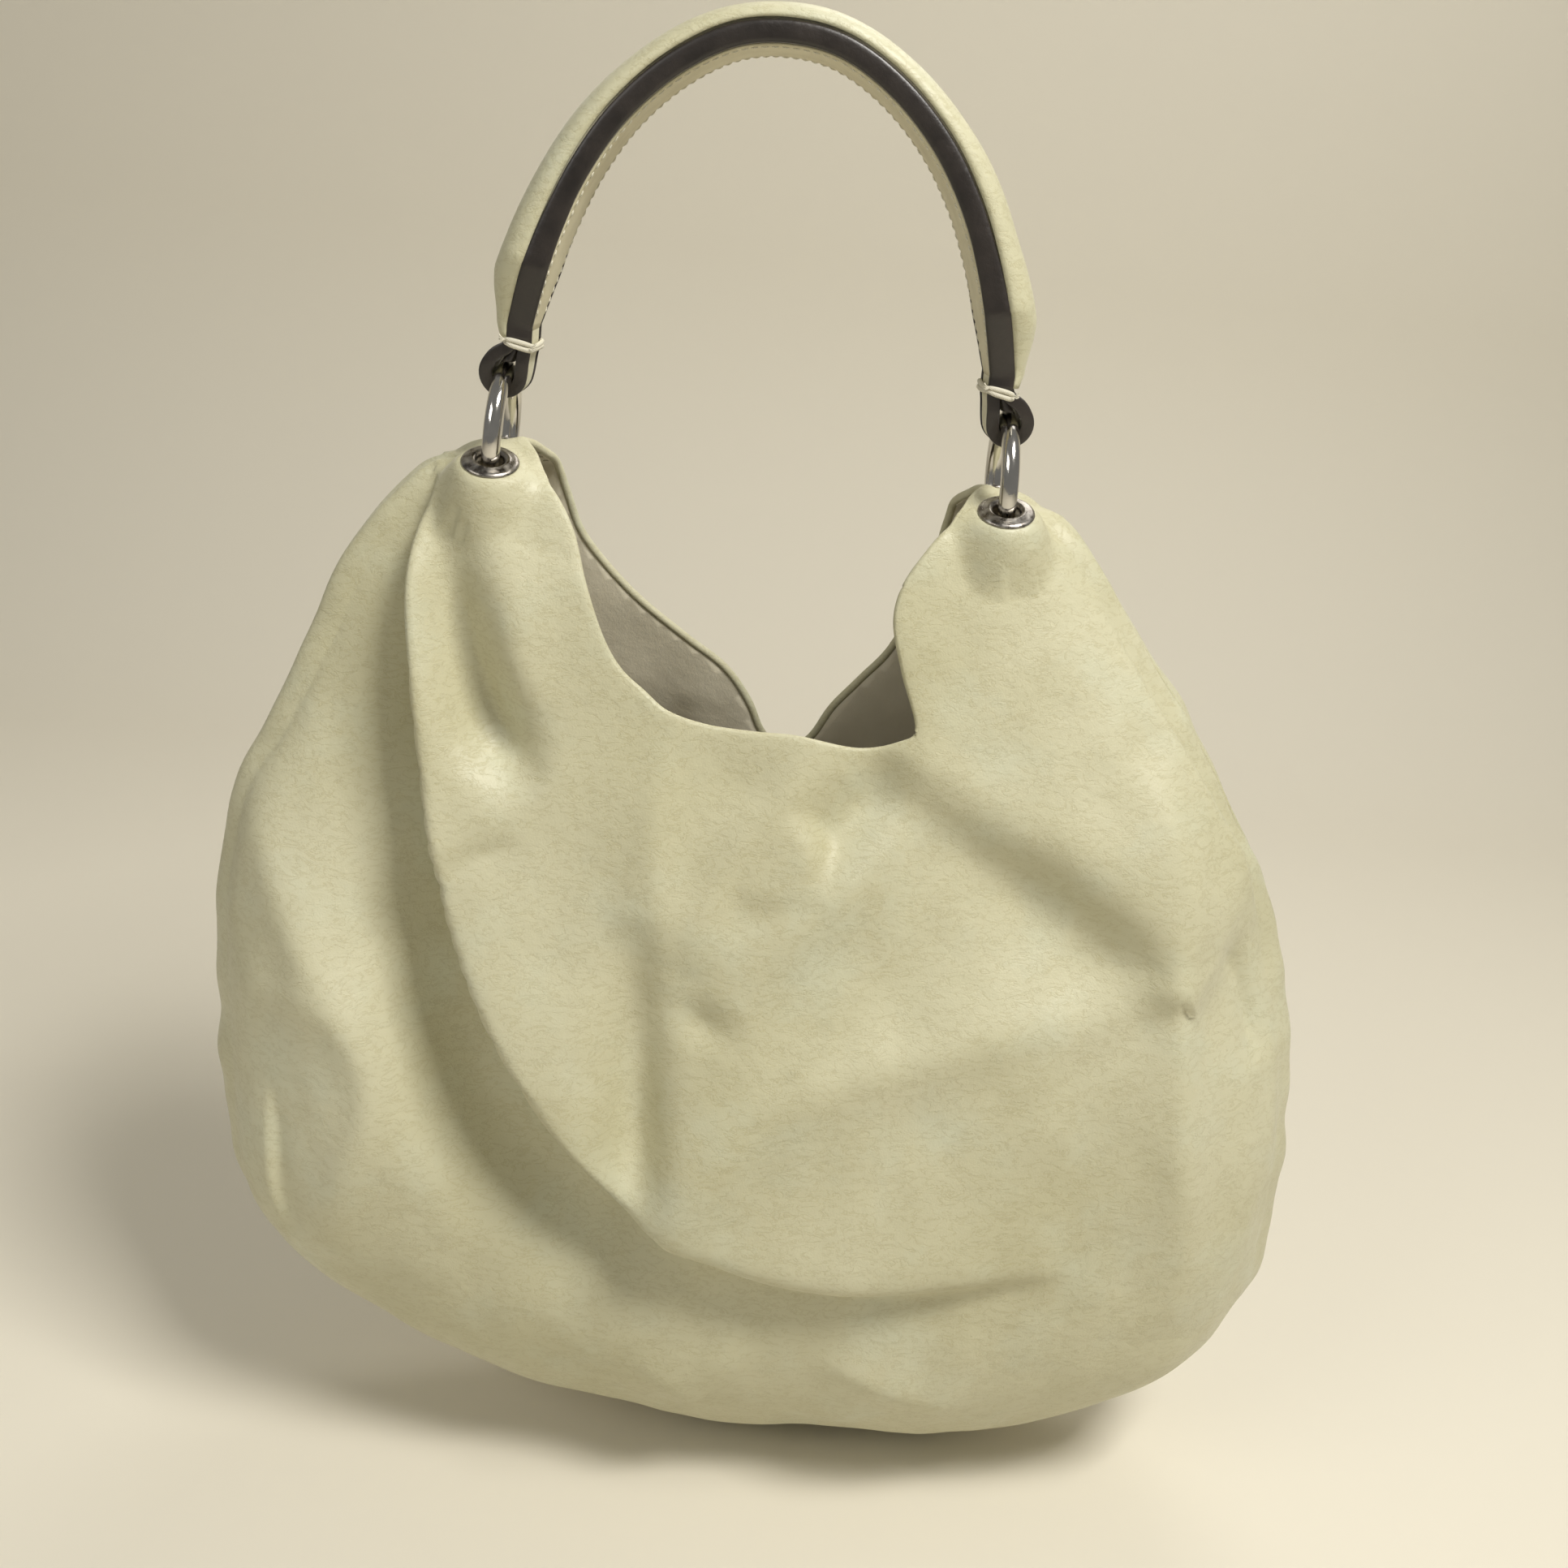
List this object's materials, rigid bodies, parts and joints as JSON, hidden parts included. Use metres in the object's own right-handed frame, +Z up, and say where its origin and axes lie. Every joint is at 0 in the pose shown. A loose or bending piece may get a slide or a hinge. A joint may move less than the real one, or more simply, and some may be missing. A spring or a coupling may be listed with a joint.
{
  "type": "hobo bag",
  "caption": "Slouchy two-panel leather hobo bag with a padded shoulder strap on metal rings, eyeleted horns, a scooped open mouth and a zipped inner pocket.",
  "frame": {"origin": "underside of the strap at its middle, where a hook or a hand carries the bag", "axes": "+Z up, the front faces -Y, +X to the right seen from the front"},
  "size_m": [0.4829, 0.164, 0.618],
  "materials": {
    "cream_leather": "pearl satin, fine grain, soft creases",
    "brown_leather": "glossy waxed edge leather",
    "suede_facing": "matt split leather",
    "lining_cloth": "matt woven cotton",
    "padding": "foam and board",
    "thread": "waxed thread",
    "nickel": "polished nickel",
    "aged_nickel": "antiqued nickel with dark hollows"
  },
  "bodies": {
    "strap": {"strap_core": "padding", "strap_cover": "cream_leather", "strap_lining": "cream_leather", "strap_edge_front": "brown_leather", "strap_edge_back": "brown_leather", "strap_tab_left": "brown_leather", "strap_tab_right": "brown_leather", "thread_tie_left": "thread", "thread_tie_right": "thread"},
    "left_ring": {"ring_left": "nickel"},
    "right_ring": {"ring_right": "nickel"},
    "bag": {"eyelet_left_front": "aged_nickel", "eyelet_washer_left_front": "aged_nickel", "horn_patch_left_front": "lining_cloth", "eyelet_left_back": "aged_nickel", "eyelet_washer_left_back": "aged_nickel", "horn_patch_left_back": "lining_cloth", "eyelet_right_front": "aged_nickel", "eyelet_washer_right_front": "aged_nickel", "horn_patch_right_front": "lining_cloth", "eyelet_right_back": "aged_nickel", "eyelet_washer_right_back": "aged_nickel", "horn_patch_right_back": "lining_cloth", "front_panel": "cream_leather", "front_facing": "suede_facing", "front_lining": "lining_cloth", "back_panel": "cream_leather", "back_facing": "suede_facing", "back_lining": "lining_cloth", "seam_tape": "lining_cloth", "snap_stud": "nickel", "snap_socket": "nickel", "zip_frame": "suede_facing", "zip_tape": "lining_cloth", "zip_chain": "nickel", "pocket_pouch": "lining_cloth"},
    "slider": {"zip_slider": "nickel"},
    "pull": {"zip_pull": "nickel"}
  },
  "joints": [
    {"name": "bag_swing", "type": "hinge", "parent": "strap", "child": "bag", "pos_m": [0, 0, -0.144], "axis": [1, 0, 0], "range_deg": [-50, 50]},
    {"name": "left_ring_turn", "type": "hinge", "parent": "strap", "child": "left_ring", "pos_m": [-0.098, 0, -0.144], "axis": [0.9986, 0, -0.0523], "continuous": true},
    {"name": "right_ring_turn", "type": "hinge", "parent": "strap", "child": "right_ring", "pos_m": [0.098, 0, -0.144], "axis": [0.9986, 0, 0.0523], "continuous": true},
    {"name": "zip_slide", "type": "slide", "parent": "bag", "child": "slider", "axis": [1, 0, 0], "range_m": [0, 0.133]},
    {"name": "pull_swing", "type": "hinge", "parent": "slider", "child": "pull", "pos_m": [-0.0485, 0.05294, -0.34], "axis": [1, 0, 0], "range_deg": [-100, 5]}
  ]
}
